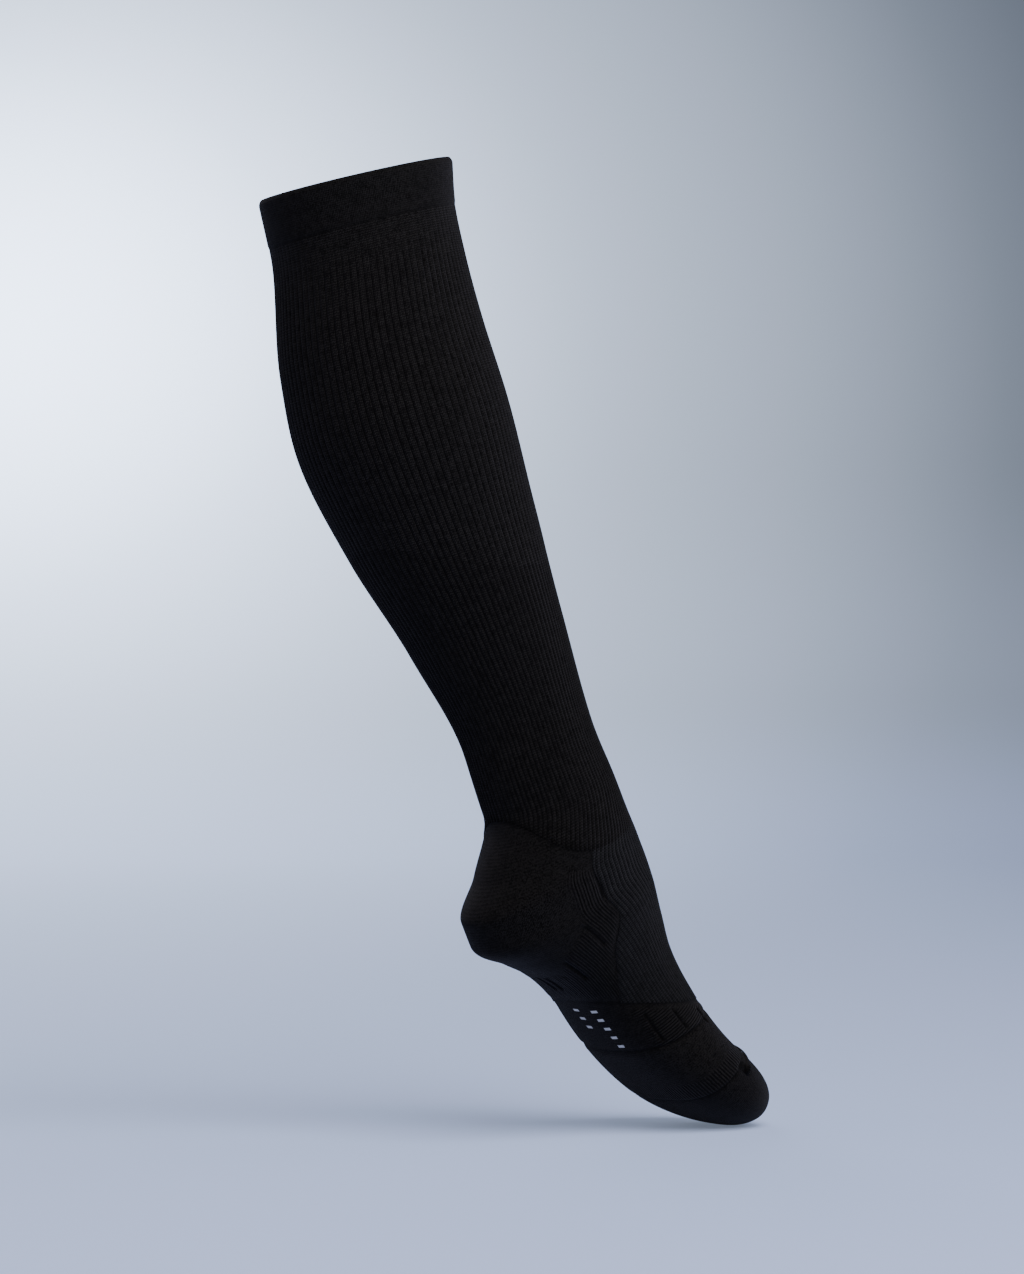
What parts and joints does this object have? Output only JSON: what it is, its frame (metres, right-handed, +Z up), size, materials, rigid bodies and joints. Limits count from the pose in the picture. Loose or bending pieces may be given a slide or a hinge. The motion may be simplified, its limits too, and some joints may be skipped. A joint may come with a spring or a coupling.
{
  "type": "compression stocking",
  "caption": "Knee-high compression stocking for the left foot, ribbed leg, plush heel and toe, hollow and filled out on tiptoe.",
  "frame": {"origin": "centre of the top opening, where the leg holds the stocking up", "axes": "+X points to the toes, +Y to the outer side of the left leg, +Z up; the leg leans back and outwards as it rises, and the foot is on tiptoe"},
  "size_m": [0.2881, 0.1472, 0.5225],
  "materials": {
    "top_band": "matte plain double knit, black",
    "ribbed_knit": "matte ribbed elastic knit, black",
    "plush_knit": "soft terry-backed knit, black, with a faint nap",
    "instep_knit": "thin finely ribbed knit, blue-black",
    "seam": "linked seam, black"
  },
  "bodies": {
    "root": {"welt": "top_band", "calf": "ribbed_knit", "lower_leg": "ribbed_knit", "heel": "plush_knit", "instep": "instep_knit", "forefoot": "plush_knit", "toe": "plush_knit", "toe_seam": "seam"}
  },
  "joints": []
}
